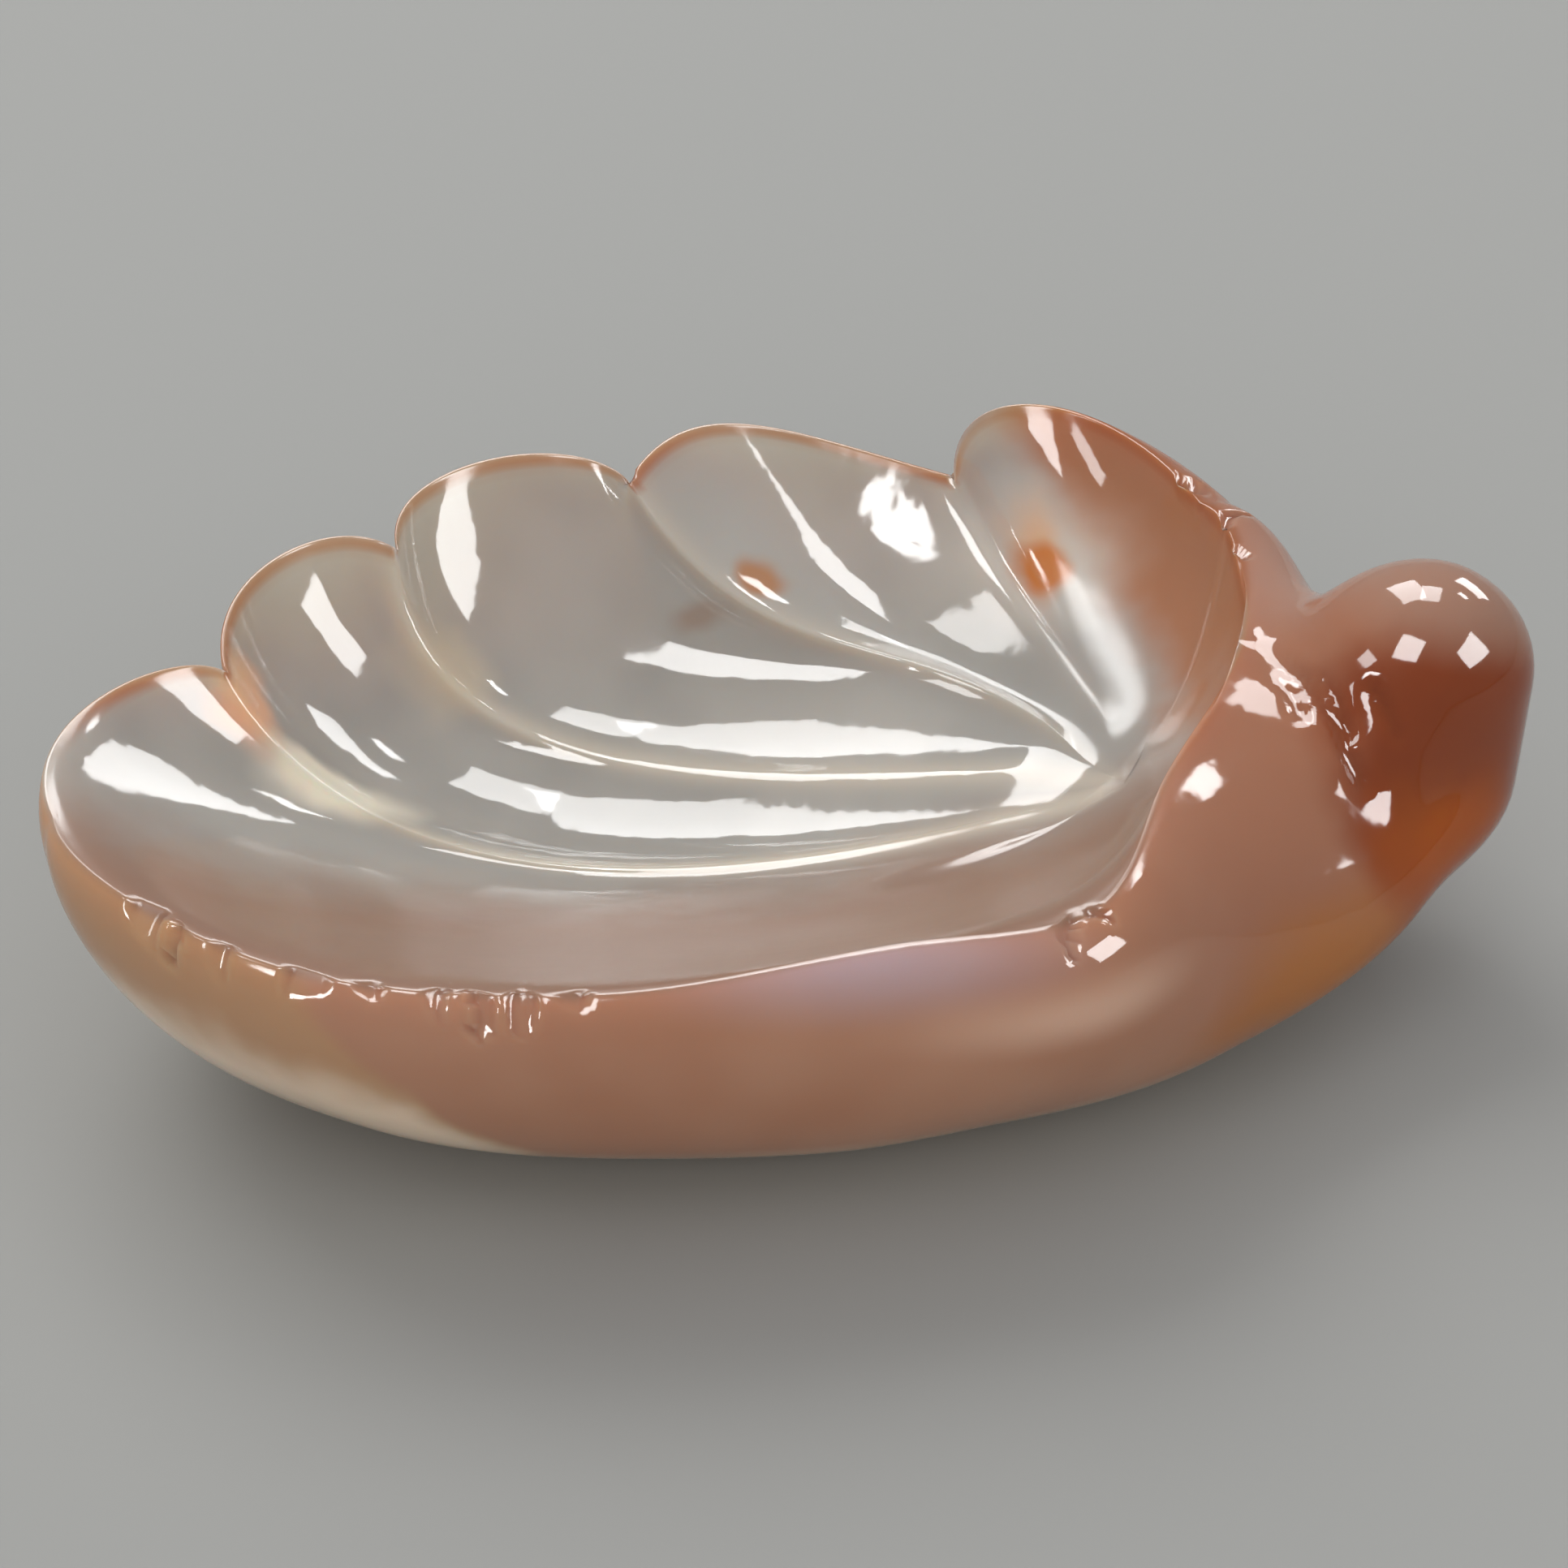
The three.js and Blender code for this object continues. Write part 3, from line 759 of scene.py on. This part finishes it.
# the hollow and the outside meet on the rim, which is browner along the back
body = tint(hollow, outside_share, skin)
back = layer((0, 1, 0), -6, 0, place)
back_rim = add("Math", {0: rim_share, 1: back}, operation="MULTIPLY").outputs[0]
body = tint(body, back_rim, "#9c5c36", 0.8)
print("outside and hollow joined on the rim")

# %% [markdown]
# ## Polish
#
# Hand polish is bright but not flat: the felt wheel leaves low waves a few millimetres wide, which
# break up the edges of what the stone mirrors. They are far too low to model, so a bump of 0.06 mm
# stands for them. A polished stone has a roughness of about 0.05. It is duller where a wheel can't
# reach well, on the near wall, at the end of the last flute and on the rim.

# %% Polish
WAVE_WIDTH = 3.5
WAVE_HEIGHT_M = 0.00006
POLISHED = 0.06
wave = add("TexNoise", {"Vector": place, "Scale": 1 / WAVE_WIDTH, "Detail": 3, "Roughness": 0.42})
relief = add("Bump", {"Height": wave.outputs["Fac"], "Strength": 1.0, "Distance": WAVE_HEIGHT_M})
in_hollow = add("Math", {0: 1.0, 1: outside_share}, operation="SUBTRACT").outputs[0]
last_flute = patch((13.2, 8.0, 8.5), (5.5, 8.5, 5.0), 0.7, place)


def less_polished(extra, share, most):
    """Extra roughness so far, or this much of a share where that is more."""
    here = add("Math", {0: share, 1: most}, operation="MULTIPLY").outputs[0]
    return add("Math", {0: extra, 1: here}, operation="MAXIMUM").outputs[0]


extra = 0.0
for share, most in ((near_wall, 0.18), (last_flute, 0.2)):
    share = add("Math", {0: share, 1: in_hollow}, operation="MULTIPLY").outputs[0]
    extra = less_polished(extra, share, most)
extra = less_polished(extra, rim_share, 0.1)
roughness = add("Math", {0: POLISHED, 1: extra}, operation="ADD").outputs[0]
stone = add("BsdfPrincipled", {
    "Base Color": body, "Roughness": roughness, "IOR": 1.54, "Normal": relief.outputs[0],
    "Subsurface Weight": 0.6, "Subsurface Scale": 0.003, "Subsurface Radius": (1.0, 0.6, 0.4)})
add("OutputMaterial", {"Surface": stone.outputs[0]})
mesh.materials.append(agate)
print("agate has", len(agate.node_tree.nodes), "nodes")

# %% [markdown]
# ## The floor
#
# The dish stands on a plain pale floor, matt so that it mirrors nothing and takes a soft shadow.
# It belongs to the stage and isn't part of the object.

# %% Floor
FLOOR_HALF = 2  # metres
corners = [(x * FLOOR_HALF, y * FLOOR_HALF, 0) for x, y in ((-1, -1), (1, -1), (1, 1), (-1, 1))]
floor_mesh = bpy.data.meshes.new("floor")
floor_mesh.from_pydata(corners, [], [(0, 1, 2, 3)])
floor = bpy.data.objects.new("floor", floor_mesh)
bpy.context.collection.objects.link(floor)
paint = bpy.data.materials.new("floor_paint")
paint.use_nodes = True
paint_shader = paint.node_tree.nodes["Principled BSDF"]
paint_shader.inputs["Base Color"].default_value = linear("#a0a09d")
paint_shader.inputs["Roughness"].default_value = 0.85
floor_mesh.materials.append(paint)
print("floor laid at z = 0")

# %% [markdown]
# ## The light
#
# A polished stone shows what it mirrors more than what lights it, so the two jobs are kept apart.
# Soft lamps light the body: a key from behind on the left, a weak one above and a fill in front.
# The gloss doesn't see them. Windows are bright cards that only the gloss sees. Each stands where
# a highlight of the real stone says that one stood: the slope of the skin gives its direction.

# %% Light
world = bpy.data.worlds.new("surround")
bpy.context.scene.world = world
world.use_nodes = True
surround = world.node_tree.nodes["Background"]
surround.inputs["Color"].default_value = linear("#f4f6f8")
surround.inputs["Strength"].default_value = 0.35
bpy.context.scene.view_settings.view_transform = "Standard"

LAMP_DISTANCE = 0.6  # metres


def lamp(name, azimuth, elevation, wide, high, brightness, mirrored):
    """A flat lamp, seen from the dish at these angles and of this size in degrees."""
    a, e = math.radians(azimuth), math.radians(elevation)
    where = Vector((math.sin(a) * math.cos(e), math.cos(a) * math.cos(e), math.sin(e)))
    light = bpy.data.lights.new(name, "AREA")
    light.shape = "RECTANGLE"
    light.size = 2 * LAMP_DISTANCE * math.tan(math.radians(wide / 2))
    light.size_y = 2 * LAMP_DISTANCE * math.tan(math.radians(high / 2))
    light.energy = brightness * math.pi * light.size * light.size_y
    card = bpy.data.objects.new(name, light)
    bpy.context.collection.objects.link(card)
    card.location = where * LAMP_DISTANCE
    card.rotation_euler = where.to_track_quat("Z", "Y").to_euler()
    card.visible_diffuse = not mirrored
    card.visible_glossy = mirrored


# azimuth from the back and elevation, width and height in degrees, brightness
SOFT_LIGHTS = {
    "soft_key": (-32, 45, 40, 40, 3.0),
    "soft_top": (0, 85, 80, 80, 0.5),
    "soft_front": (180, 30, 80, 40, 0.9),
}
WINDOWS = {
    "back": (-9, 50, 17, 28, 9),
    "back_high": (14, 56, 13, 20, 9),
    "back_right": (37, 24, 20, 12, 9),
    "front_high": (-148, 64, 20, 20, 13),
    "front_left": (-128, 28, 7, 9, 19),
    "front_side": (-106, 42, 15, 9, 9),
    "right": (111, 36, 24, 24, 13),
    "collar_spot": (41.5, 41.5, 7, 4, 14),
}
for name, angles in SOFT_LIGHTS.items():
    lamp(name, *angles, False)
for name, angles in WINDOWS.items():
    lamp(name, *angles, True)
print(len(SOFT_LIGHTS), "soft lights and", len(WINDOWS), "windows")
